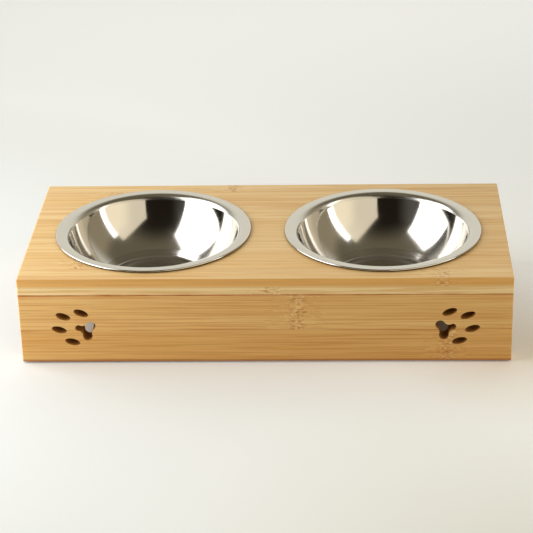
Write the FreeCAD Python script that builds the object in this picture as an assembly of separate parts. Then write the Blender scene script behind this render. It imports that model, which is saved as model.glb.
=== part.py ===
import FreeCAD, Part
import math
import os

# Double pet bowl stand: a bridge of three bamboo boards, doweled and glued, with two drop-in steel bowls.
# Millimetres. X runs along the stand, Y to the back, Z up. The origin is on the floor, under the middle.

# Wood left round the bowl rims, which sets the length and depth of the stand
END_MARGIN = 16.8
RIM_GAP = 23.6
FRONT_MARGIN = 8.8
BACK_MARGIN = 12.8

# Boards
BOARD_THICKNESS = 12.0
PANEL_HEIGHT = 50.0
EDGE_ROUND = 0.8
JOINT_BEVEL = 0.25

# Foot pads
FOOT_DIAMETER = 8.0
FOOT_THICKNESS = 1.0
FOOT_BEVEL = 0.3
FOOT_FROM_END = 12.0

# Bowls
RIM_DIAMETER = 136.4
FLANGE_WIDTH = 4.6
LIP_HEIGHT = 1.8
LIP_ROUND = 1.6
SHOULDER_ROUND = 5.0
BOWL_DEPTH = 37.6
BASE_RING_DIAMETER = 77.6
BASE_RING_HEIGHT = 3.9
BASE_RING_SLOPE = 41.5
BASE_CORNER = 2.5
STEEL_SHEET = 0.6
BOWL_CLEARANCE = 0.6
HOLE_BEVEL = 0.5

# Dowels between the top board and the boards that carry it
DOWEL_DIAMETER = 6.0
DOWEL_LENGTH = 24.0
DOWEL_IN_TOP = 7.5
DOWEL_BEVEL = 0.6
DOWEL_FROM_END = 15.0
DOWELS_PER_JOINT = 4
FLUTES = 6
FLUTE_ROUND = 0.5
GLUE_GAP = 0.1
GLUE_POCKET = 0.5

# Paw cut-outs: the toes point outwards and a little up, each turned a little to its own side,
# and the pad has a tip and two heels
PAW_FROM_END = 45.2
PAW_HEIGHT = 23.9
PAW_TILT = 17.6
TOE_LENGTH = 10.3
TOE_WIDTH = 4.9
OUTER_TOE_FORWARD = 7.1
OUTER_TOE_ASIDE = 11.3
OUTER_TOE_TURN = 3.8
INNER_TOE_FORWARD = 17.9
INNER_TOE_ASIDE = 5.2
INNER_TOE_TURN = 1.9
PAD_TIP_FORWARD = 5.9
PAD_TIP_ROUND = 2.2
PAD_HEEL_BACK = 1.6
PAD_HEEL_ASIDE = 4.0
PAD_HEEL_ROUND = 3.3
PAD_BLEND = 3.3

# Overall length and depth, and the heights and rows that the boards share
STAND_LENGTH = 2 * (END_MARGIN + RIM_DIAMETER) + RIM_GAP
STAND_DEPTH = FRONT_MARGIN + RIM_DIAMETER + BACK_MARGIN
PANEL_BOTTOM = FOOT_THICKNESS
PANEL_TOP = PANEL_BOTTOM + PANEL_HEIGHT
TOP_SURFACE = PANEL_TOP + BOARD_THICKNESS
FLANGE_TOP = TOP_SURFACE + LIP_HEIGHT
PANEL_ROW = STAND_DEPTH / 2 - BOARD_THICKNESS / 2
ROWS = {"front": -PANEL_ROW, "back": PANEL_ROW}
SIDES = {"left": -1, "right": 1}

# Radii of a bowl and its seat
RIM_RADIUS = RIM_DIAMETER / 2
FLANGE_INNER_RADIUS = RIM_RADIUS - FLANGE_WIDTH
BOWL_HOLE_RADIUS = FLANGE_INNER_RADIUS + BOWL_CLEARANCE
BASE_RING_RADIUS = BASE_RING_DIAMETER / 2

UP = FreeCAD.Vector(0, 0, 1)
BACKWARDS = FreeCAD.Vector(0, 1, 0)


def bowl_centre(side):
    """The point of the floor under a bowl."""
    x = side * (RIM_GAP + RIM_DIAMETER) / 2
    return FreeCAD.Vector(x, FRONT_MARGIN + RIM_RADIUS - STAND_DEPTH / 2, 0)


def dowel_places():
    """X of each dowel of a joint, evenly spaced between the two end dowels."""
    first = DOWEL_FROM_END - STAND_LENGTH / 2
    step = -2 * first / (DOWELS_PER_JOINT - 1)
    return [first + step * number for number in range(DOWELS_PER_JOINT)]


def board(length, depth, thickness, middle, bottom):
    """A board with rounded upright corners, lying level, centred on Y = middle."""
    x = length / 2 - EDGE_ROUND
    y = depth / 2 - EDGE_ROUND
    corners = [(x, y), (-x, y), (-x, -y), (x, -y)]
    edges = []
    for number, (cx, cy) in enumerate(corners):
        centre = FreeCAD.Vector(cx, middle + cy, bottom)
        start = 90.0 * number
        edges.append(Part.makeCircle(EDGE_ROUND, centre, UP, start, start + 90.0))
        next_x, next_y = corners[(number + 1) % 4]
        turn = math.radians(start + 90.0)
        out = FreeCAD.Vector(math.cos(turn), math.sin(turn), 0) * EDGE_ROUND
        edges.append(Part.makeLine(centre + out, FreeCAD.Vector(next_x, middle + next_y, bottom) + out))
    return Part.Face(Part.Wire(Part.__sortEdges__(edges))).extrude(UP * thickness)


def edges_at(shape, height):
    """The edges of a shape that lie wholly at one height."""
    level = 1e-6
    return [
        edge for edge in shape.Edges
        if abs(edge.BoundBox.ZMin - height) < level and abs(edge.BoundBox.ZMax - height) < level
    ]


def dowel_pockets(row):
    """The holes of one joint, with room for glue round each dowel and at its ends."""
    radius = DOWEL_DIAMETER / 2 + GLUE_GAP
    bottom = PANEL_TOP + DOWEL_IN_TOP - DOWEL_LENGTH - GLUE_POCKET
    height = DOWEL_LENGTH + 2 * GLUE_POCKET
    return [Part.makeCylinder(radius, height, FreeCAD.Vector(x, row, bottom)) for x in dowel_places()]


def top_panel():
    shape = board(STAND_LENGTH, STAND_DEPTH, BOARD_THICKNESS, 0, PANEL_TOP)
    shape = shape.makeFillet(EDGE_ROUND, edges_at(shape, TOP_SURFACE))
    shape = shape.makeChamfer(JOINT_BEVEL, edges_at(shape, PANEL_TOP))
    for side in SIDES.values():
        hole = Part.makeCylinder(BOWL_HOLE_RADIUS, BOARD_THICKNESS, bowl_centre(side) + UP * PANEL_TOP)
        mouth = Part.makeCone(
            BOWL_HOLE_RADIUS, BOWL_HOLE_RADIUS + HOLE_BEVEL, HOLE_BEVEL,
            bowl_centre(side) + UP * (TOP_SURFACE - HOLE_BEVEL),
        )
        shape = shape.cut([hole, mouth])
    for row in ROWS.values():
        shape = shape.cut(dowel_pockets(row))
    return shape


def panel(row):
    shape = board(STAND_LENGTH, BOARD_THICKNESS, PANEL_HEIGHT, row, PANEL_BOTTOM)
    shape = shape.makeFillet(EDGE_ROUND, edges_at(shape, PANEL_BOTTOM))
    shape = shape.makeChamfer(JOINT_BEVEL, edges_at(shape, PANEL_TOP))
    return shape.cut(dowel_pockets(row))


def paw_point(side, forward, aside):
    """A point of a paw on the front face, from its place along and across the paw."""
    turn = math.radians(PAW_TILT)
    outwards = forward * math.cos(turn) - aside * math.sin(turn)
    upwards = forward * math.sin(turn) + aside * math.cos(turn)
    x = STAND_LENGTH / 2 - PAW_FROM_END + outwards
    return FreeCAD.Vector(side * x, -STAND_DEPTH / 2, PANEL_BOTTOM + PAW_HEIGHT + upwards)


def paw_toe(side, forward, aside, turn):
    """One toe: an ellipse that lies along the paw, turned from it by an angle."""
    ahead = math.cos(math.radians(turn))
    across = math.sin(math.radians(turn))
    tip = paw_point(side, forward + TOE_LENGTH / 2 * ahead, aside + TOE_LENGTH / 2 * across)
    flank = paw_point(side, forward - TOE_WIDTH / 2 * across, aside + TOE_WIDTH / 2 * ahead)
    return Part.Wire(Part.Ellipse(tip, flank, paw_point(side, forward, aside)).toShape())


def blend_centre(first, second):
    """Centre of the hollow arc that touches two lobes, each a place and a radius, on their left."""
    (ax, ay, a_radius), (bx, by, b_radius) = first, second
    span = math.hypot(bx - ax, by - ay)
    reach_a = a_radius + PAD_BLEND
    reach_b = b_radius + PAD_BLEND
    along = (span ** 2 + reach_a ** 2 - reach_b ** 2) / (2 * span)
    across = math.sqrt(reach_a ** 2 - along ** 2)
    ux = (bx - ax) / span
    uy = (by - ay) / span
    return ax + along * ux - across * uy, ay + along * uy + across * ux


def pad_arc(side, centre, radius, start, end):
    """An arc of the pad's outline, turning from one direction to another."""
    points = []
    for turn in (start, (start + end) / 2, end):
        points.append(paw_point(side, centre[0] + radius * math.cos(turn), centre[1] + radius * math.sin(turn)))
    return Part.Arc(*points).toShape()


def paw_pad(side):
    """The pad: a small tip and two heels, joined by hollow arcs."""
    lobes = [
        (PAD_TIP_FORWARD, 0.0, PAD_TIP_ROUND),
        (-PAD_HEEL_BACK, -PAD_HEEL_ASIDE, PAD_HEEL_ROUND),
        (-PAD_HEEL_BACK, PAD_HEEL_ASIDE, PAD_HEEL_ROUND),
    ]
    hollows = [blend_centre(lobes[number], lobes[(number + 1) % 3]) for number in range(3)]
    edges = []
    for number, (x, y, radius) in enumerate(lobes):
        before = hollows[number - 1]
        after = hollows[number]
        start = math.atan2(after[1] - y, after[0] - x)
        end = math.atan2(before[1] - y, before[0] - x)
        while end < start:
            end += 2 * math.pi
        edges.append(pad_arc(side, (x, y), radius, start, end))
        next_x, next_y, _ = lobes[(number + 1) % 3]
        start = math.atan2(y - after[1], x - after[0])
        end = math.atan2(next_y - after[1], next_x - after[0])
        while end - start > math.pi:
            end -= 2 * math.pi
        while end - start < -math.pi:
            end += 2 * math.pi
        edges.append(pad_arc(side, after, PAD_BLEND, start, end))
    return Part.Wire(Part.__sortEdges__(edges))


def paw(side):
    """The five cutters of one paw, right through the front board."""
    outlines = [paw_pad(side)]
    for aside in (-1, 1):
        outlines.append(paw_toe(side, OUTER_TOE_FORWARD, aside * OUTER_TOE_ASIDE, aside * OUTER_TOE_TURN))
        outlines.append(paw_toe(side, INNER_TOE_FORWARD, aside * INNER_TOE_ASIDE, aside * INNER_TOE_TURN))
    return [Part.Face(outline).extrude(BACKWARDS * BOARD_THICKNESS) for outline in outlines]


def front_panel():
    shape = panel(ROWS["front"])
    for side in SIDES.values():
        shape = shape.cut(paw(side))
    return shape


def skin_arc(centre, radius, start, end):
    """An arc of the bowl's profile between two angles."""
    points = []
    for turn in (start, (start + end) / 2, end):
        points.append(centre + FreeCAD.Vector(math.cos(turn), 0, math.sin(turn)) * radius)
    return Part.Arc(*points).toShape()


def wall_ball():
    """The ball that the wall is part of: how high its centre is over the flange, and its radius.

    It is centred on the axis, touches the shoulder and ends at the top of the base ring.
    """
    ring_depth = BOWL_DEPTH - BASE_RING_HEIGHT
    ring_reach = BASE_RING_RADIUS ** 2 + ring_depth ** 2
    # Touching the shoulder makes the radius a steady function of the height, and the ring then sets the height
    first_radius = (FLANGE_INNER_RADIUS ** 2 - ring_reach) / (2 * SHOULDER_ROUND)
    radius_step = 1 - ring_depth / SHOULDER_ROUND
    square = radius_step ** 2 - 1
    half = ring_depth - first_radius * radius_step
    height = (half - math.sqrt(half ** 2 - square * (first_radius ** 2 - ring_reach))) / square
    return height, first_radius + radius_step * height


def bowl_skin(below):
    """Profile of the bowl from its axis to the lip: its upper skin, or the skin a little below it.

    A small corner turns the flat base into a straight ring, which meets the round wall at a faint crease.
    The shoulder then turns the wall into the flange.
    """
    ball_height, ball_radius = wall_ball()
    ball = FreeCAD.Vector(0, 0, ball_height)
    shoulder = FreeCAD.Vector(FLANGE_INNER_RADIUS, 0, -SHOULDER_ROUND)
    shoulder_turn = -math.atan2(ball_height + SHOULDER_ROUND, FLANGE_INNER_RADIUS)
    lip = FreeCAD.Vector(RIM_RADIUS - LIP_ROUND, 0, -LIP_ROUND)

    slope = math.radians(BASE_RING_SLOPE)
    along_ring = FreeCAD.Vector(math.cos(slope), 0, math.sin(slope))
    under_ring = FreeCAD.Vector(math.sin(slope), 0, -math.cos(slope))
    ring_top = FreeCAD.Vector(BASE_RING_RADIUS, 0, BASE_RING_HEIGHT - BOWL_DEPTH) + under_ring * below
    from_ball = ring_top - ball
    share = from_ball.dot(along_ring)
    reach = math.sqrt(share ** 2 + (ball_radius + below) ** 2 - from_ball.dot(from_ball))
    crease = ring_top + along_ring * (math.copysign(reach, share) - share)
    crease_turn = math.atan2(crease.z - ball_height, crease.x)
    corner_radius = BASE_RING_RADIUS - BASE_RING_HEIGHT / math.tan(slope) - BASE_CORNER * math.tan(slope / 2)
    corner = FreeCAD.Vector(corner_radius, 0, BASE_CORNER - BOWL_DEPTH)

    arcs = [
        skin_arc(corner, BASE_CORNER + below, -math.pi / 2, slope - math.pi / 2),
        skin_arc(ball, ball_radius + below, crease_turn, shoulder_turn),
        skin_arc(shoulder, SHOULDER_ROUND - below, shoulder_turn + math.pi, math.pi / 2),
        skin_arc(lip, LIP_ROUND - below, math.pi / 2, 0.0),
    ]
    middle = FreeCAD.Vector(0, 0, -BOWL_DEPTH - below)
    edge = FreeCAD.Vector(RIM_RADIUS - below, 0, -LIP_HEIGHT)
    lines = [
        Part.makeLine(middle, arcs[0].firstVertex().Point),
        Part.makeLine(arcs[0].lastVertex().Point, arcs[1].firstVertex().Point),
        Part.makeLine(arcs[2].lastVertex().Point, arcs[3].firstVertex().Point),
        Part.makeLine(arcs[3].lastVertex().Point, edge),
    ]
    return arcs + lines, middle, edge


def bowl(side):
    """A pressed bowl: flat base, base ring, round wall, flange and a lip turned down onto the board."""
    upper, upper_middle, upper_edge = bowl_skin(0.0)
    lower, lower_middle, lower_edge = bowl_skin(STEEL_SHEET)
    ends = [Part.makeLine(upper_middle, lower_middle), Part.makeLine(upper_edge, lower_edge)]
    profile = Part.Face(Part.Wire(Part.__sortEdges__(upper + lower + ends)))
    shape = profile.revolve(FreeCAD.Vector(0, 0, 0), UP, 360)
    shape.translate(bowl_centre(side) + UP * FLANGE_TOP)
    return shape


def dowel(x, row):
    """A fluted dowel with bevelled ends, upright in its joint."""
    radius = DOWEL_DIAMETER / 2
    bottom = FreeCAD.Vector(x, row, PANEL_TOP + DOWEL_IN_TOP - DOWEL_LENGTH)
    shape = Part.makeCylinder(radius, DOWEL_LENGTH, bottom)
    ends = edges_at(shape, bottom.z) + edges_at(shape, bottom.z + DOWEL_LENGTH)
    shape = shape.makeChamfer(DOWEL_BEVEL, ends)
    flutes = []
    for number in range(FLUTES):
        turn = 2 * math.pi * number / FLUTES
        out = FreeCAD.Vector(math.cos(turn), math.sin(turn), 0) * radius
        flutes.append(Part.makeCylinder(FLUTE_ROUND, DOWEL_LENGTH, bottom + out))
    return shape.cut(flutes)


def foot(side, row):
    """A stick-on pad under the end of a board."""
    x = side * (STAND_LENGTH / 2 - FOOT_FROM_END)
    shape = Part.makeCylinder(FOOT_DIAMETER / 2, FOOT_THICKNESS, FreeCAD.Vector(x, row, 0))
    return shape.makeChamfer(FOOT_BEVEL, edges_at(shape, 0))


def pieces():
    """Every piece by its name."""
    shapes = {
        "top_panel": top_panel(),
        "front_panel": front_panel(),
        "back_panel": panel(ROWS["back"]),
    }
    for side_name, side in SIDES.items():
        shapes[side_name + "_bowl"] = bowl(side)
    for row_name, row in ROWS.items():
        for number, x in enumerate(dowel_places(), start=1):
            shapes[f"{row_name}_dowel_{number}"] = dowel(x, row)
        for side_name, side in SIDES.items():
            shapes[f"{row_name}_{side_name}_foot"] = foot(side, row)
    return shapes


os.makedirs("parts", exist_ok=True)
for name, shape in pieces().items():
    solids = shape.Solids
    if len(solids) != 1 or not solids[0].isValid():
        raise ValueError(f"{name} is not one valid solid")
    solids[0].exportStep(f"parts/{name}.step")
    box = solids[0].BoundBox
    print(f"{name}: {solids[0].Volume:.1f} mm3, z {box.ZMin:.2f} to {box.ZMax:.2f}")
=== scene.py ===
import math

import bmesh
import bpy
from mathutils import Matrix, Vector


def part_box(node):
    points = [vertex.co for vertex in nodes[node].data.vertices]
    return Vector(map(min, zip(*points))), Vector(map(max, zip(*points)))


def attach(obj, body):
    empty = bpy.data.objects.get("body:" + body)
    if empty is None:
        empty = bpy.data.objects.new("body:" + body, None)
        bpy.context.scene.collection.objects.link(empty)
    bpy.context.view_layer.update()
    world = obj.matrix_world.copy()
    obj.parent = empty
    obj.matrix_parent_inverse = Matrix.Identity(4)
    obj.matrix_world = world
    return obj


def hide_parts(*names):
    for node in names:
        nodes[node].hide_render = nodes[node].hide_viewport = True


# Double pet bowl stand: lacquered bamboo boards and two pressed steel bowls.
# The sizes below are in millimetres and the angles in degrees; Blender's own units are metres.
MM = 0.001

# Camera, as fitted to the photograph's board edges and bowl rims
CAMERA_PLACE = (56.4, -1200.4, 610.1)
CAMERA_TURN = 2.77
CAMERA_TILT = -25.61
CAMERA_ROLL = 1.48
CAMERA_LENS = 127.64
SENSOR_WIDTH = 36.0

# Bowl skin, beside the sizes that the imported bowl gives
FLANGE_WIDTH = 4.6
LIP_ROUND = 0.7
LIP_TUCK = 40.0
# Angle on the lip's round from which its lower side gets the painted shade
UNDER_LIP_SHADE_FROM = -10.0
SHOULDER_ROUND = 5.0
BASE_RING_RADIUS = 38.8
BASE_RING_HEIGHT = 3.9
BASE_RING_SLOPE = 41.5
BASE_CORNER = 2.5
STEEL_SHEET = 0.6

# How finely the bowl skin is divided: around, along its arcs, and at shares of its straight stretches
BOWL_SEGMENTS = 256
ARC_STEP = 0.5
LEAST_ARC_STEPS = 6
BASE_SHARES = (0.0, 0.3, 0.6, 0.9, 0.98)
RING_SHARES = (0.02, 0.5, 0.98)
FLANGE_SHARES = (0.04, 0.5, 0.96)
EDGE_SHARES = (0.05, 0.95, 1.0)

# Finishes of the bowl (the last is painted shade) and which the base, ring, wall, flange, lip and lower lip
# have
POLISHED, SATIN, TURNED, UNDER_LIP_SHADE = range(4)
FINISHES = (TURNED, TURNED, POLISHED, SATIN, POLISHED, UNDER_LIP_SHADE)

# Patterns of the finishes, and the heights from the rim at which the wall is dullest and brightest
SHEET_WAVE = 24.0
SHEET_SWAY = 0.2
DULL_WALL, BRIGHT_WALL = -36.0, -8.0
TURNED_RING = 1.6
RING_DEPTH = 0.03
SATIN_GRIT = 1.2
# Size of the patches in the painted shade under the lip
SHADE_PATCH = 6.0

# Bamboo boards: strips side by side in two plies, with the strips and culm nodes of the upper ply shifted
BOARD_THICKNESS = 12.0
STRIP_WIDTH = 26.0
FRONT_STRIPS = -1.0
PLY_SHIFT = 0.41
PLY_STRIPS = 7.0
PLY_NODE = 113.0
NODE_SPACING = 330.0
TONE_STEP = 0.41

# Patterns of the bamboo: length along a strip and width across it
FIBRE_LENGTH = 70.0
TOP_FIBRE = 1.3
FRONT_FIBRE = 0.75
BAND = (260.0, 3.4)
STREAK = (300.0, 6.0)
WAVER = (9.0, 3.0)
FLECK = (3.2, 1.0)

# Depth of a fibre line, and how far each strip is moved along its pattern, so that no two are alike
FIBRE_DEPTH = 0.05
STRIP_JUMP = 431.0

# A culm node: how far along the strip fibres waver and flecks show, from none to all, and its ragged edge
NODE_WAVER = (24.0, 3.0)
NODE_FLECKS = (7.5, 2.5)
NODE_RAGGED = 2.0
NODE_SWAY = 1.0

# Glue lines between strips, and how strong they are on the top board and the upright ones
GLUE_LINE = 0.8
GLUE_CORE = 0.4
GLUE_CHANGE = 70.0
TOP_GLUE = 0.3
FRONT_GLUE = 0.85

# Tones of the bamboo: pale, honey and fibre for the boards, then those of single features
TOP_TONES = ("#f6d79c", "#ebbf79", "#dca559")
FRONT_TONES = ("#f6d08c", "#e3ab59", "#cf8839")
OUTER_CULM = "#e8a645"
INNER_CULM = "#ffe4aa"
AMBER = "#c67c2c"
NODE_BROWN = "#bd6d28"
NODE_PALE = "#f7dcaa"
# The joint's brown is partly glue and partly painted shade of the gap between the boards
JOINT_GLUE_AND_SHADE = "#bd6522"
FOOT_BROWN = "#a85c1c"
# Painted shade on the walls of the cut-outs, lighter at the outer face and darker inside
CUT_WALL_SHADE, DEEP_CUT_WALL_SHADE = "#c28c42", "#9a6a2c"

# How strong the tones are, and how far from the middle of the board the culm tones start and are full
FIBRE_STRENGTH = 0.48
BAND_STRENGTH = 0.2
CULM_STRENGTH = 0.7
CULM_BLUR, CULM_FULL = 0.4, 1.0

# Places and reaches of the joint's glue and painted shade, the brown band at the boards' foot, and the
# cut-outs
JOINT_HEIGHT = 51.0
JOINT_HALF_WIDTH = 0.55
JOINT_DASH = 22.0
JOINT_THINS = 60.0
FOOT_BAND = 3.4
FOOT_BLUR = 1.2
FOOT_STRENGTH = 0.7
CUT_HEIGHT = 26.0
CUT_SPAN = 22.0
CUT_REACH = 160.0

# Room around the stand
CEILING = "#736b58"
DARK_FRONT = "#241f18"
LEFT_SIDE = "#615f58"
RIGHT_WALL = "#a3977d"
BACK_WALL = "#fffcf0"

# Floor: half its side, its mottle, and patches of painted light and shade (middle, near and far reach, tone)
FLOOR_REACH = 12000.0
FLOOR_MOTTLE = 25.0
LIT_FLOOR = ((-400.0, -100.0, 0.0), 150.0, 550.0, "#e3e8ea")
SHADED_FLOOR = ((190.0, -60.0, 0.0), 0.0, 110.0, "#fbf4e6")
DIM_FLOOR = ((160.0, -330.0, 0.0), 0.0, 220.0, "#eceee9")
# Painted shade under the stand: how far in it fades, and its tone at the left end and at the right end
UNDER_FADE = 34.0
LEFT_SHADE, RIGHT_SHADE = "#c8c3ba", "#786757"

# Glow of the floor to the eye: by the stand, behind it, in a patch, and farther out beside and before it
GLOW_NEAR, GLOW_BACK = 0.23, 0.47
GLOW_START, GLOW_END = 100.0, 750.0
GLOW_PATCH = 0.15
GLOW_BEYOND = 0.6
BESIDE_START, BESIDE_END = 300.0, 500.0
BEFORE_START, BEFORE_END = -420.0, -620.0

# Setting of a range that starts and ends gently
SMOOTH = {"interpolation_type": "SMOOTHSTEP"}

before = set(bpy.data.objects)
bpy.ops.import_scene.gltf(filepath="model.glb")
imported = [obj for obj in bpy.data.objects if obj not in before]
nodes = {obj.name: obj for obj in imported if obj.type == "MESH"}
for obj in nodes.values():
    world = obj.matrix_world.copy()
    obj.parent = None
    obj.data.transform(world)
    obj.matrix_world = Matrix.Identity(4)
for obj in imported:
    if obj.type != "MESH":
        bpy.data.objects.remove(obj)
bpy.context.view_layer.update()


def linear(code):
    """An sRGB hex colour as linear RGBA."""
    channels = []
    for start in (1, 3, 5):
        value = int(code[start:start + 2], 16) / 255
        channels.append(value / 12.92 if value <= 0.04045 else ((value + 0.055) / 1.055) ** 2.4)
    return (*channels, 1.0)


def add(tree, kind, inputs, out=0, **settings):
    """Adds a node with its settings, links or sets its inputs, and returns one of its outputs."""
    made = tree.nodes.new("ShaderNode" + kind)
    for name, value in settings.items():
        setattr(made, name, value)
    for key, value in inputs.items():
        if isinstance(value, bpy.types.NodeSocket):
            tree.links.new(value, made.inputs[key])
        else:
            made.inputs[key].default_value = value
    return made.outputs[out] if made.outputs else None


def new_material(name):
    """An empty node material, its tree, and the place of a point of the piece in millimetres."""
    material = bpy.data.materials.new(name)
    material.use_nodes = True
    tree = material.node_tree
    tree.nodes.clear()
    place = add(tree, "TexCoord", {}, out="Object")
    place = add(tree, "VectorMath", {0: place, "Scale": 1 / MM}, operation="SCALE")
    return material, tree, place


def grain(length, width):
    """Scale of a pattern that runs along the board."""
    return 1 / length, 1 / width, 1 / width


def pressed_bamboo(
    name, across, through, start, middle, first_node, node_step, tones, fibre_width, glue, seed,
):
    """Flat-pressed bamboo, planed, sanded and lacquered.

    Strips of the split culm lie side by side in two plies. The eye sees a honey tone that changes a little
    from strip to strip, thin browner fibre lines along each strip, amber bands and pale streaks between them,
    and now and then a culm node, where the fibres waver and break up into flecks.
    Across the cut ends the same fibres show as dots.
    """
    pale, honey, fibre = (linear(tone) for tone in tones)
    material, tree, place = new_material(name)
    along, wide, deep = (add(tree, "SeparateXYZ", {0: place}, out=axis) for axis in ("X", across, through))
    upright = add(tree, "SeparateXYZ", {0: place}, out="Z")

    # Which ply and which strip a point is in
    ply = add(tree, "Math", {0: deep, 1: middle}, operation="GREATER_THAN")
    strips = add(tree, "MapRange", {0: wide, 1: start, 2: start + STRIP_WIDTH}, clamp=False)
    strips = add(tree, "Math", {0: ply, 1: PLY_SHIFT, 2: strips}, operation="MULTIPLY_ADD")
    strip = add(tree, "Math", {0: strips}, operation="FLOOR")
    in_strip = add(tree, "Math", {0: strips}, operation="FRACT")
    number = add(tree, "Math", {0: ply, 1: PLY_STRIPS, 2: strip}, operation="MULTIPLY_ADD")

    # Distance along the strip from its nearest culm node
    shift = add(tree, "Math", {0: strip, 1: node_step, 2: first_node}, operation="MULTIPLY_ADD")
    shift = add(tree, "Math", {0: ply, 1: PLY_NODE, 2: shift}, operation="MULTIPLY_ADD")
    from_node = add(tree, "Math", {0: along, 1: shift}, operation="SUBTRACT")
    from_node = add(tree, "Math", {0: from_node, 1: NODE_SPACING / 2, 2: -NODE_SPACING / 2}, operation="WRAP")
    waver = add(tree, "VectorMath", {0: place, 1: grain(*WAVER)}, operation="MULTIPLY")
    waver = add(tree, "TexNoise", {"Vector": waver, "Scale": 1.0, "Detail": 2.0})
    ragged = add(tree, "MapRange", {0: waver, 1: 0.3, 2: 0.7, 3: -NODE_RAGGED, 4: NODE_RAGGED})
    from_node = add(tree, "Math", {0: from_node, 1: ragged}, operation="ADD")
    from_node = add(tree, "Math", {0: from_node}, operation="ABSOLUTE")
    near_node, at_node = (
        add(tree, "MapRange", {0: from_node, 1: none, 2: full}, **SMOOTH)
        for none, full in (NODE_WAVER, NODE_FLECKS)
    )

    # Fibres: each strip has its own, and the point slides across the strip where a node makes them waver
    sway = add(tree, "MapRange", {0: waver, 1: 0.3, 2: 0.7, 3: -NODE_SWAY, 4: NODE_SWAY}, clamp=False)
    sway = add(tree, "Math", {0: sway, 1: near_node}, operation="MULTIPLY")
    jump = (STRIP_JUMP, 1.0, 1.0)
    swayed = add(tree, "CombineXYZ", {0: number, 1: sway, 2: sway})
    swayed = add(tree, "VectorMath", {0: swayed, 1: jump, 2: place}, operation="MULTIPLY_ADD")
    # Real fibres are a few tenths of a millimetre wide: they are drawn coarser, so that they show
    lines = add(tree, "VectorMath", {0: swayed, 1: grain(FIBRE_LENGTH, fibre_width)}, operation="MULTIPLY")
    lines = add(tree, "TexNoise", {"Vector": lines, "Scale": 1.0, "Detail": 2.0})
    lines = add(tree, "MapRange", {0: lines, 1: 0.49, 2: 0.59}, **SMOOTH)
    bands = add(tree, "VectorMath", {0: swayed, 1: grain(*BAND)}, operation="MULTIPLY")
    bands = add(tree, "TexNoise", {"Vector": bands, "Scale": 1.0, "Detail": 1.0})
    bands = add(tree, "MapRange", {0: bands, 1: 0.5, 2: 0.68, 4: BAND_STRENGTH}, **SMOOTH)
    streaks = add(tree, "VectorMath", {0: swayed, 1: grain(*STREAK)}, operation="MULTIPLY")
    streaks = add(tree, "TexNoise", {"Vector": streaks, "Scale": 1.0, "Detail": 2.0})
    streaks = add(tree, "MapRange", {0: streaks, 1: 0.35, 2: 0.65, 3: 0.2, 4: 0.8})

    # Colour of the strip: half of it is the strip's own tone, half its streaks
    tone = add(tree, "Math", {0: number, 1: TONE_STEP, 2: seed}, operation="MULTIPLY_ADD")
    tone = add(tree, "Math", {0: tone}, operation="FRACT")
    tone = add(tree, "Math", {0: tone, 1: streaks}, operation="ADD")
    tone = add(tree, "Math", {0: tone, 1: 0.5}, operation="MULTIPLY")
    colour = add(tree, "Mix", {0: tone, 6: pale, 7: honey}, out=2, data_type="RGBA")

    # Along the board's sawn edges the dense outer side of the upper ply is browner, and the lower ply paler
    facing = add(tree, "TexCoord", {}, out="Normal")
    facing = add(tree, "SeparateXYZ", {0: facing}, out=through)
    facing = add(tree, "Math", {0: facing}, operation="ABSOLUTE")
    sawn = add(tree, "MapRange", {0: facing, 1: 0.9, 2: 0.4})
    for tint, side in ((OUTER_CULM, 1), (INNER_CULM, -1)):
        none, full = middle - side * CULM_BLUR, middle + side * CULM_FULL
        culm = add(tree, "MapRange", {0: deep, 1: none, 2: full, 4: CULM_STRENGTH})
        culm = add(tree, "Math", {0: culm, 1: sawn}, operation="MULTIPLY")
        colour = add(tree, "Mix", {0: culm, 6: colour, 7: linear(tint)}, out=2, data_type="RGBA")

    # Amber bands and fibre lines
    colour = add(tree, "Mix", {0: bands, 6: colour, 7: linear(AMBER)}, out=2, data_type="RGBA")
    depth = add(tree, "Math", {0: lines, 1: FIBRE_STRENGTH}, operation="MULTIPLY")
    colour = add(tree, "Mix", {0: depth, 6: colour, 7: fibre}, out=2, data_type="RGBA")

    # Flecks of a culm node
    fleck = add(tree, "VectorMath", {0: swayed, 1: grain(*FLECK)}, operation="MULTIPLY")
    fleck = add(tree, "TexNoise", {"Vector": fleck, "Scale": 1.0, "Detail": 1.0})
    for tint, none, full, strength in ((NODE_BROWN, 0.49, 0.36, 0.6), (NODE_PALE, 0.54, 0.66, 0.5)):
        flecks = add(tree, "MapRange", {0: fleck, 1: none, 2: full, 4: strength})
        flecks = add(tree, "Math", {0: flecks, 1: at_node}, operation="MULTIPLY")
        colour = add(tree, "Mix", {0: flecks, 6: colour, 7: linear(tint)}, out=2, data_type="RGBA")

    # Glue lines between strips, stronger in some places than in others, and none on the sawn edges
    glued = add(tree, "VectorMath", {0: swayed, 1: (1 / GLUE_CHANGE, 0.0, 0.0)}, operation="MULTIPLY")
    glued = add(tree, "TexNoise", {"Vector": glued, "Scale": 1.0, "Detail": 1.0})
    glued = add(tree, "MapRange", {0: glued, 1: 0.42, 2: 0.64, 3: 0.1 * glue, 4: glue})
    glued = add(tree, "Math", {0: glued, 1: facing}, operation="MULTIPLY")
    seam = add(tree, "Math", {0: in_strip, 1: 0.5}, operation="SUBTRACT")
    seam = add(tree, "Math", {0: seam}, operation="ABSOLUTE")
    glue_share = GLUE_LINE / STRIP_WIDTH
    seam = add(tree, "MapRange", {0: seam, 1: 0.5 - glue_share, 2: 0.5 - GLUE_CORE * glue_share})
    seam = add(tree, "Math", {0: seam, 1: glued}, operation="MULTIPLY")
    colour = add(tree, "Mix", {0: seam, 6: colour, 7: linear(AMBER)}, out=2, data_type="RGBA")
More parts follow.
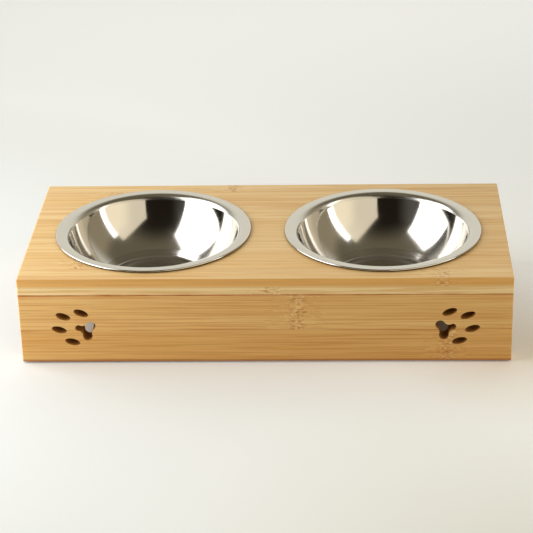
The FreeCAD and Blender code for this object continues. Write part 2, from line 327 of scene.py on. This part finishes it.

    # Glue, and painted shade of the gap between the boards, darken the joint in dashes that thin out to the
    # right
    dashes = add(tree, "VectorMath", {0: place, 1: (1 / JOINT_DASH, 0.0, 0.0)}, operation="MULTIPLY")
    dashes = add(tree, "TexNoise", {"Vector": dashes, "Scale": 1.0, "Detail": 2.0})
    dashes = add(tree, "MapRange", {0: dashes, 1: 0.4, 2: 0.62, 3: 0.45, 4: 0.95})
    thinning = add(tree, "MapRange", {0: along, 1: -JOINT_THINS, 2: JOINT_THINS, 3: 1.0, 4: 0.6})
    glue_and_shade = add(tree, "Math", {0: upright, 1: JOINT_HEIGHT, 2: JOINT_HALF_WIDTH}, operation="COMPARE")
    glue_and_shade = add(tree, "Math", {0: glue_and_shade, 1: dashes}, operation="MULTIPLY")
    glue_and_shade = add(tree, "Math", {0: glue_and_shade, 1: thinning}, operation="MULTIPLY")
    colour = add(tree, "Mix", {0: glue_and_shade, 6: colour, 7: linear(JOINT_GLUE_AND_SHADE)}, out=2, data_type="RGBA")
    foot = add(tree, "MapRange", {0: upright, 1: FOOT_BAND, 2: FOOT_BAND - FOOT_BLUR, 4: FOOT_STRENGTH})
    colour = add(tree, "Mix", {0: foot, 6: colour, 7: linear(FOOT_BROWN)}, out=2, data_type="RGBA")

    # The walls of the cut-outs get painted shade, darker from the outer face to the middle of the board
    inside = add(tree, "Math", {0: facing, 1: 0.5}, operation="LESS_THAN")
    for line, centre, reach in ((along, 0.0, CUT_REACH), (upright, CUT_HEIGHT, CUT_SPAN)):
        within = add(tree, "Math", {0: line, 1: centre, 2: reach}, operation="COMPARE")
        inside = add(tree, "Math", {0: inside, 1: within}, operation="MULTIPLY")
    into = add(tree, "MapRange", {0: deep, 1: middle - BOARD_THICKNESS, 2: middle - BOARD_THICKNESS / 2})
    wall_shade = {0: into, 6: linear(CUT_WALL_SHADE), 7: linear(DEEP_CUT_WALL_SHADE)}
    wall_shade = add(tree, "Mix", wall_shade, out=2, data_type="RGBA")
    colour = add(tree, "Mix", {0: inside, 6: colour, 7: wall_shade}, out=2, data_type="RGBA")

    # Satin lacquer: the lines lie a little lower and are a little duller, and the cut walls have none
    roughness = add(tree, "MapRange", {0: lines, 3: 0.42, 4: 0.52})
    roughness = add(tree, "MapRange", {0: inside, 3: roughness, 4: 0.95})
    bump = add(tree, "Bump", {"Height": lines, "Strength": 0.12, "Distance": -FIBRE_DEPTH * MM})
    surface = add(tree, "BsdfPrincipled", {
        "Base Color": colour, "Roughness": roughness, "Normal": bump, "IOR": 1.5,
    })
    add(tree, "OutputMaterial", {"Surface": surface})
    return material


def polished_steel():
    """Stainless steel, pressed and then buffed: clear reflections that sway a little with the pressed sheet.

    Buffing reaches the upper wall best, so the shine softens towards the base.
    """
    material, tree, place = new_material("polished_stainless_steel")
    height = add(tree, "SeparateXYZ", {0: place}, out="Z")
    roughness = add(tree, "MapRange", {0: height, 1: DULL_WALL, 2: BRIGHT_WALL, 3: 0.16, 4: 0.07})
    sway = add(tree, "TexNoise", {"Vector": place, "Scale": 1 / SHEET_WAVE, "Detail": 1.0})
    bump = add(tree, "Bump", {"Height": sway, "Strength": 1.0, "Distance": SHEET_SWAY * MM})
    surface = add(tree, "BsdfPrincipled", {
        "Base Color": linear("#cfccc6"), "Metallic": 1.0, "Roughness": roughness, "Normal": bump,
    })
    add(tree, "OutputMaterial", {"Surface": surface})
    return material


def turned_steel():
    """Stainless steel, cleaned with a pad as it turned: soft reflections with faint rings about the axis.

    Real rings are a fraction of a millimetre wide: they are drawn coarser, so that they show.
    """
    material, tree, place = new_material("turned_stainless_steel")
    level = add(tree, "VectorMath", {0: place, 1: (1.0, 1.0, 0.0)}, operation="MULTIPLY")
    radius = add(tree, "VectorMath", {0: level}, out="Value", operation="LENGTH")
    rings = add(tree, "Math", {0: radius, 1: 1 / TURNED_RING}, operation="MULTIPLY")
    rings = add(tree, "TexNoise", {"W": rings, "Scale": 1.0, "Detail": 2.0}, noise_dimensions="1D")
    roughness = add(tree, "MapRange", {0: rings, 1: 0.35, 2: 0.65, 3: 0.12, 4: 0.22})
    bump = add(tree, "Bump", {"Height": rings, "Strength": 0.6, "Distance": RING_DEPTH * MM})
    surface = add(tree, "BsdfPrincipled", {
        "Base Color": linear("#bfbcb6"), "Metallic": 1.0, "Roughness": roughness, "Normal": bump,
    })
    add(tree, "OutputMaterial", {"Surface": surface})
    return material


def satin_steel():
    """Stainless steel, ground with a fine belt while it turned: an even, soft shine with a faint grit.

    Real grit is a few hundredths of a millimetre: it is drawn coarser, so that it shows.
    """
    material, tree, place = new_material("satin_stainless_steel")
    grit = add(tree, "TexNoise", {"Vector": place, "Scale": 1 / SATIN_GRIT, "Detail": 3.0})
    roughness = add(tree, "MapRange", {0: grit, 1: 0.35, 2: 0.65, 3: 0.2, 4: 0.24})
    surface = add(tree, "BsdfPrincipled", {
        "Base Color": linear("#cbc8c0"), "Metallic": 1.0, "Roughness": roughness,
    })
    add(tree, "OutputMaterial", {"Surface": surface})
    return material


def shaded_steel_under_lip():
    """Stainless steel of the lip's lower side and raw edge: dull, and darkened in patches as painted shade
    under the lip.
    """
    material, tree, place = new_material("stainless_steel_painted_shade_under_lip")
    shade_patches = add(tree, "TexNoise", {"Vector": place, "Scale": 1 / SHADE_PATCH, "Detail": 2.0})
    tones = {6: linear("#2b2823"), 7: linear("#45403a")}
    colour = add(tree, "Mix", {0: shade_patches, **tones}, out=2, data_type="RGBA")
    surface = add(tree, "BsdfPrincipled", {"Base Color": colour, "Metallic": 1.0, "Roughness": 0.45})
    add(tree, "OutputMaterial", {"Surface": surface})
    return material


def turned_beech():
    """Beech, turned: pale pinkish brown with short darker flecks along the dowel."""
    fleck_width, fleck_length = 0.6, 5.0
    material, tree, place = new_material("turned_beech")
    scale = (1 / fleck_width, 1 / fleck_width, 1 / fleck_length)
    flecks = add(tree, "VectorMath", {0: place, 1: scale}, operation="MULTIPLY")
    flecks = add(tree, "TexNoise", {"Vector": flecks, "Scale": 1.0, "Detail": 2.0})
    flecks = add(tree, "MapRange", {0: flecks, 1: 0.4, 2: 0.65})
    tones = {6: linear("#d8b48a"), 7: linear("#b98d60")}
    colour = add(tree, "Mix", {0: flecks, **tones}, out=2, data_type="RGBA")
    surface = add(tree, "BsdfPrincipled", {"Base Color": colour, "Roughness": 0.6})
    add(tree, "OutputMaterial", {"Surface": surface})
    return material


def moulded_rubber():
    """Rubber, moulded: near black and matt, with the fine grain of the mould."""
    grain_size, grain_depth = 0.3, 0.05
    material, tree, place = new_material("moulded_rubber")
    pits = add(tree, "TexNoise", {"Vector": place, "Scale": 1 / grain_size, "Detail": 2.0})
    tones = {6: linear("#26241f"), 7: linear("#3a372f")}
    colour = add(tree, "Mix", {0: pits, **tones}, out=2, data_type="RGBA")
    bump = add(tree, "Bump", {"Height": pits, "Strength": 0.3, "Distance": grain_depth * MM})
    surface = add(tree, "BsdfPrincipled", {"Base Color": colour, "Roughness": 0.8, "Normal": bump})
    add(tree, "OutputMaterial", {"Surface": surface})
    return material


def arc(centre, radius, start, end):
    """Points of a profile arc between two angles, a small step apart."""
    count = max(LEAST_ARC_STEPS, math.ceil(abs(end - start) * radius / ARC_STEP))
    turns = [start + (end - start) * step / count for step in range(count + 1)]
    return [(centre[0] + radius * math.cos(turn), centre[1] + radius * math.sin(turn)) for turn in turns]


def wall_ball(flange_inner, depth):
    """Height over the flange and radius of the ball that the wall follows.

    It touches the shoulder and ends at the base ring.
    """
    ring_depth = depth - BASE_RING_HEIGHT
    ring_reach = BASE_RING_RADIUS ** 2 + ring_depth ** 2
    first_radius = (flange_inner ** 2 - ring_reach) / (2 * SHOULDER_ROUND)
    radius_step = 1 - ring_depth / SHOULDER_ROUND
    square = radius_step ** 2 - 1
    half = ring_depth - first_radius * radius_step
    height = (half - math.sqrt(half ** 2 - square * (first_radius ** 2 - ring_reach))) / square
    return height, first_radius + radius_step * height


def bowl_skin(rim, depth, lip_height, below):
    """Profile stretches from the axis to the lip: base, ring, wall, shoulder with flange, lip, and its edge.

    They are those of the upper skin, or of the skin a little below it.
    """
    flange_inner = rim - FLANGE_WIDTH
    ball_height, ball_radius = wall_ball(flange_inner, depth)

    # The straight base ring meets the ball in a crease
    slope = math.radians(BASE_RING_SLOPE)
    along_ring = Vector((math.cos(slope), math.sin(slope)))
    under_ring = Vector((math.sin(slope), -math.cos(slope)))
    ring_top = Vector((BASE_RING_RADIUS, BASE_RING_HEIGHT - depth)) + under_ring * below
    from_ball = ring_top - Vector((0.0, ball_height))
    past_foot = from_ball.dot(along_ring)
    reach = math.sqrt(past_foot ** 2 + (ball_radius + below) ** 2 - from_ball.dot(from_ball))
    crease = ring_top + along_ring * (math.copysign(reach, past_foot) - past_foot)
    crease_turn = math.atan2(crease.y - ball_height, crease.x)

    # Base, ring and wall
    corner = BASE_RING_RADIUS - BASE_RING_HEIGHT / math.tan(slope) - BASE_CORNER * math.tan(slope / 2)
    base = [(corner * share, -depth - below) for share in BASE_SHARES]
    base += arc((corner, BASE_CORNER - depth), BASE_CORNER + below, -math.pi / 2, slope - math.pi / 2)
    ring_foot = Vector(base[-1])
    ring = [tuple(ring_foot.lerp(crease, share)) for share in RING_SHARES]
    shoulder_turn = -math.atan2(ball_height + SHOULDER_ROUND, flange_inner)
    wall = arc((0.0, ball_height), ball_radius + below, crease_turn, shoulder_turn)

    # Shoulder with flange
    shoulder_middle = (flange_inner, -SHOULDER_ROUND)
    flange = arc(shoulder_middle, SHOULDER_ROUND - below, shoulder_turn + math.pi, math.pi / 2)[1:]
    flange_end = rim - LIP_ROUND
    flange += [(flange_inner + (flange_end - flange_inner) * share, -below) for share in FLANGE_SHARES]

    # Lip, turned down and tucked in, and its lower side, painted as shade, down to the sheared edge on the
    # board
    tuck = math.radians(LIP_TUCK)
    shade_from = math.radians(UNDER_LIP_SHADE_FROM)
    lip_middle = (flange_end, -LIP_ROUND)
    lip = arc(lip_middle, LIP_ROUND - below, math.pi / 2, shade_from)
    edge = arc(lip_middle, LIP_ROUND - below, shade_from, -tuck)[1:]
    lip_side = Vector(edge[-1])
    lip_edge = Vector((lip_side.x - (lip_side.y + lip_height) * math.tan(tuck), -lip_height))
    edge += [tuple(lip_side.lerp(lip_edge, share)) for share in EDGE_SHARES]
    return base, ring, wall, flange, lip, edge


def bowl(name, finishes):
    """A pressed bowl as one closed skin, turned about its axis."""
    low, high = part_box(name)
    top_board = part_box("top_panel")[1].z
    rim = (high.x - low.x) / 2 / MM
    depth = (high.z - low.z) / MM - STEEL_SHEET
    lip_height = (high.z - top_board) / MM
    upper = bowl_skin(rim, depth, lip_height, 0.0)
    lower = bowl_skin(rim, depth, lip_height, STEEL_SHEET)
    profile = [(point, finish) for finish, stretch in zip(FINISHES, upper) for point in stretch]
    under = [(point, SATIN) for stretch in lower for point in stretch]
    profile += under[::-1]

    # Rings of points about the axis, with a single point where the profile meets it
    shape = bmesh.new()
    rings = []
    for (radius, height), _ in profile:
        if radius == 0.0:
            rings.append([shape.verts.new((0.0, 0.0, height * MM))])
            continue
        ring = []
        for number in range(BOWL_SEGMENTS):
            turn = 2 * math.pi * number / BOWL_SEGMENTS
            across, aside = radius * math.cos(turn) * MM, radius * math.sin(turn) * MM
            ring.append(shape.verts.new((across, aside, height * MM)))
        rings.append(ring)
    for place in range(len(rings) - 1):
        first, second = rings[place], rings[place + 1]
        for number in range(BOWL_SEGMENTS):
            following = (number + 1) % BOWL_SEGMENTS
            corners = [first[number % len(first)], first[following % len(first)]]
            corners += [second[following % len(second)], second[number % len(second)]]
            corners = list(dict.fromkeys(corners))
            face = shape.faces.new(corners[::-1])
            face.material_index = profile[place + 1][1]
            face.smooth = True

    # The creases of both skins and the two sides of the sheared edge stay sharp
    crease = len(upper[0]) + len(upper[1])
    edge = len(profile) - len(under)
    for ring_number in (crease, edge - 1, edge, len(profile) - 1 - crease):
        ring = rings[ring_number]
        for number in range(BOWL_SEGMENTS):
            shape.edges.get((ring[number], ring[(number + 1) % BOWL_SEGMENTS])).smooth = False
    mesh = bpy.data.meshes.new(name + "_skin")
    shape.to_mesh(mesh)
    shape.free()
    piece = bpy.data.objects.new(name + "_steel", mesh)
    piece.location = ((low.x + high.x) / 2, (low.y + high.y) / 2, high.z)
    bpy.context.scene.collection.objects.link(piece)
    for finish in finishes:
        mesh.materials.append(finish)
    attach(piece, name)
    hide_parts(name)


def give(node, material):
    """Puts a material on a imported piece."""
    mesh = nodes[node].data
    mesh.materials.clear()
    mesh.materials.append(material)


def lit_panel(name, start, end, bottom, top, colour, strength):
    """A lit panel that stands upright on the line from start to end and faces the stand."""
    first, second = (Vector((*corner, 0.0)) * MM for corner in (start, end))
    middle = (first + second) / 2
    up = Vector((0.0, 0.0, 1.0))
    facing = (second - first).normalized().cross(up)
    if facing.dot(middle) > 0:
        facing = -facing
    lamp = bpy.data.lights.new(name, "AREA")
    lamp.shape = "RECTANGLE"
    lamp.size = (second - first).length
    lamp.size_y = (top - bottom) * MM
    lamp.color = linear(colour)[:3]
    lamp.energy = strength * math.pi * lamp.size * lamp.size_y
    panel = bpy.data.objects.new(name, lamp)
    turn = Matrix((facing.cross(up), up, -facing)).transposed()
    panel.matrix_world = Matrix.Translation(middle + up * (bottom + top) / 2 * MM) @ turn.to_4x4()
    panel.visible_camera = False
    bpy.context.scene.collection.objects.link(panel)


def room():
    """Dim room: a dull ceiling, darkness in front, dull sides, and a pale wall behind the stand."""
    world = bpy.data.worlds.new("room")
    world.use_nodes = True
    tree = world.node_tree
    tree.nodes.clear()
    place = add(tree, "TexCoord", {}, out="Generated")
    sideways, backwards, upwards = (add(tree, "SeparateXYZ", {0: place}, out=axis) for axis in "XYZ")
    front = add(tree, "MapRange", {0: backwards, 1: -0.25, 2: -0.75}, **SMOOTH)
    tones = {6: linear(CEILING), 7: linear(DARK_FRONT)}
    colour = add(tree, "Mix", {0: front, **tones}, out=2, data_type="RGBA")
    low = add(tree, "MapRange", {0: upwards, 1: 0.7, 2: 0.5}, **SMOOTH)
    below_top = add(tree, "MapRange", {0: upwards, 1: 0.92, 2: 0.8}, **SMOOTH)
    for line, none, full, height, tone in (
        (sideways, -0.3, -0.7, low, LEFT_SIDE),
        (sideways, 0.5, 0.8, low, RIGHT_WALL),
        (backwards, 0.35, 0.75, below_top, BACK_WALL),
    ):
        wall = add(tree, "MapRange", {0: line, 1: none, 2: full}, **SMOOTH)
        wall = add(tree, "Math", {0: wall, 1: height}, operation="MULTIPLY")
        colour = add(tree, "Mix", {0: wall, 6: colour, 7: linear(tone)}, out=2, data_type="RGBA")
    light = add(tree, "Background", {"Color": colour})
    add(tree, "OutputWorld", {"Surface": light})
    bpy.context.scene.world = world


def pale_floor():
    """Card, pressed and matt: a near white with the faint mottle of paper, brighter to the eye at the back.

    Painted light and shade tint it: cooler and greyer by the softbox, warmer in the stand's shadow, a little
    duller before the stand's right end, and painted darker as shade under the stand, most towards the right.
    """
    low, high = (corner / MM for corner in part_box("top_panel"))
    material, tree, place = new_material("matt_card")
    sideways, backwards = (add(tree, "SeparateXYZ", {0: place}, out=axis) for axis in "XY")
    mottle = add(tree, "TexNoise", {"Vector": place, "Scale": 1 / FLOOR_MOTTLE, "Detail": 3.0})
    tones = {6: linear("#edf1f0"), 7: linear("#eff3f2")}
    colour = add(tree, "Mix", {0: mottle, **tones}, out=2, data_type="RGBA")
    glow = {0: backwards, 1: GLOW_START, 2: GLOW_END, 3: GLOW_NEAR, 4: GLOW_BACK}
    glow = add(tree, "MapRange", glow, **SMOOTH)

    # Painted light and shade: by the softbox, in the stand's shadow and before its right end the card is
    # tinted and glows less
    for middle, near, far, tint in (LIT_FLOOR, SHADED_FLOOR, DIM_FLOOR):
        away = add(tree, "VectorMath", {0: place, 1: middle}, out="Value", operation="DISTANCE")
        close = add(tree, "MapRange", {0: away, 1: far, 2: near})
        colour = add(tree, "Mix", {0: close, 6: colour, 7: linear(tint)}, out=2, data_type="RGBA")
        dimming = add(tree, "MapRange", {0: close, 3: 1.0, 4: GLOW_PATCH})
        glow = add(tree, "Math", {0: glow, 1: dimming}, operation="MULTIPLY")

    # Painted soft shade under the stand
    under = 1.0
    for line, edge in ((sideways, high.x), (backwards, high.y)):
        inwards = add(tree, "Math", {0: line}, operation="ABSOLUTE")
        inwards = add(tree, "MapRange", {0: inwards, 1: edge, 2: edge - UNDER_FADE}, **SMOOTH)
        under = add(tree, "Math", {0: inwards, 1: under}, operation="MULTIPLY")
    shade = add(tree, "MapRange", {0: sideways, 1: low.x, 2: high.x})
    tones = {6: linear(LEFT_SHADE), 7: linear(RIGHT_SHADE)}
    shade = add(tree, "Mix", {0: shade, **tones}, out=2, data_type="RGBA")
    colour = add(tree, "Mix", {0: under, 6: colour, 7: shade}, out=2, data_type="RGBA")

    # Farther out the card glows more, so that the edges of the panels' light do not show on it
    beside = add(tree, "Math", {0: sideways}, operation="ABSOLUTE")
    beside = add(tree, "MapRange", {0: beside, 1: BESIDE_START, 2: BESIDE_END}, **SMOOTH)
    before = add(tree, "MapRange", {0: backwards, 1: BEFORE_START, 2: BEFORE_END}, **SMOOTH)
    beyond = add(tree, "Math", {0: beside, 1: before}, operation="MAXIMUM")
    glow = add(tree, "MapRange", {0: beyond, 3: glow, 4: GLOW_BEYOND})

    # The glow is seen by the camera, and in metal and glass, but not under the stand
    seen = 0.0
    for kind in ("Camera", "Glossy", "Transmission"):
        ray = add(tree, "LightPath", {}, out=f"Is {kind} Ray")
        seen = add(tree, "Math", {0: ray, 1: seen}, operation="MAXIMUM")
    seen = add(tree, "Math", {0: seen, 1: under}, operation="SUBTRACT", use_clamp=True)
    glow = add(tree, "Math", {0: glow, 1: seen}, operation="MULTIPLY")
    surface = add(tree, "BsdfPrincipled", {
        "Base Color": colour, "Roughness": 0.7,
        "Emission Color": linear("#ffffff"), "Emission Strength": glow,
    })
    add(tree, "OutputMaterial", {"Surface": surface})
    mesh = bpy.data.meshes.new("floor")
    reach = FLOOR_REACH * MM
    corners = [(-reach, -reach, 0), (reach, -reach, 0), (reach, reach, 0), (-reach, reach, 0)]
    mesh.from_pydata(corners, [], [(0, 1, 2, 3)])
    mesh.materials.append(material)
    floor = bpy.data.objects.new("floor", mesh)
    bpy.context.scene.collection.objects.link(floor)


def camera():
    """The camera at the photograph's place."""
    data = bpy.data.cameras.new("camera")
    data.lens = CAMERA_LENS
    data.sensor_width = SENSOR_WIDTH
    eye = bpy.data.objects.new("camera", data)
    turn = Matrix.Rotation(math.radians(CAMERA_TURN), 4, "Z")
    turn = turn @ Matrix.Rotation(math.radians(CAMERA_TILT), 4, "X")
    turn = turn @ Matrix.Rotation(math.radians(CAMERA_ROLL), 4, "Y")
    level = Matrix.Rotation(math.pi / 2, 4, "X")
    eye.matrix_world = Matrix.Translation(Vector(CAMERA_PLACE) * MM) @ turn @ level
    bpy.context.scene.collection.objects.link(eye)
    bpy.context.scene.camera = eye


# Boards: the upright ones are a single ply each, so their middle is set at the face that is turned inwards
top_low, top_high = (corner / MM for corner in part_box("top_panel"))
front_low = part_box("front_panel")[0] / MM
back_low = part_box("back_panel")[0] / MM
give("top_panel", pressed_bamboo(
    "lacquered_bamboo_top", across="Y", through="Z",
    start=top_low.y, middle=(top_low.z + top_high.z) / 2, first_node=5.0, node_step=85.67,
    tones=TOP_TONES, fibre_width=TOP_FIBRE, glue=TOP_GLUE, seed=0.7,
))
give("front_panel", pressed_bamboo(
    "lacquered_bamboo_front", across="Z", through="Y",
    start=FRONT_STRIPS, middle=front_low.y + BOARD_THICKNESS, first_node=122.0, node_step=-100.0,
    tones=FRONT_TONES, fibre_width=FRONT_FIBRE, glue=FRONT_GLUE, seed=0.95,
))
give("back_panel", pressed_bamboo(
    "lacquered_bamboo_back", across="Z", through="Y",
    start=FRONT_STRIPS, middle=back_low.y, first_node=-60.0, node_step=110.0,
    tones=FRONT_TONES, fibre_width=FRONT_FIBRE, glue=FRONT_GLUE, seed=0.3,
))

# Dowels, feet and bowls
beech = turned_beech()
rubber = moulded_rubber()
for node in nodes:
    if "dowel" in node:
        give(node, beech)
    if "foot" in node:
        give(node, rubber)
steel = [polished_steel(), satin_steel(), turned_steel(), shaded_steel_under_lip()]
for side in ("left", "right"):
    bowl(side + "_bowl", steel)

# Studio
lit_panel("softbox", (-502.0, 203.0), (-380.0, -329.0), 10.0, 656.0, "#ffffff", 3.6)
lit_panel("beige_card", (195.0, -965.0), (517.0, -140.0), 100.0, 748.0, "#eadfc8", 1.22)
lit_panel("strip_light", (517.0, -140.0), (545.0, -55.0), 100.0, 570.0, "#ffffff", 3.0)
room()
pale_floor()
camera()
bpy.context.scene.view_settings.view_transform = "Standard"
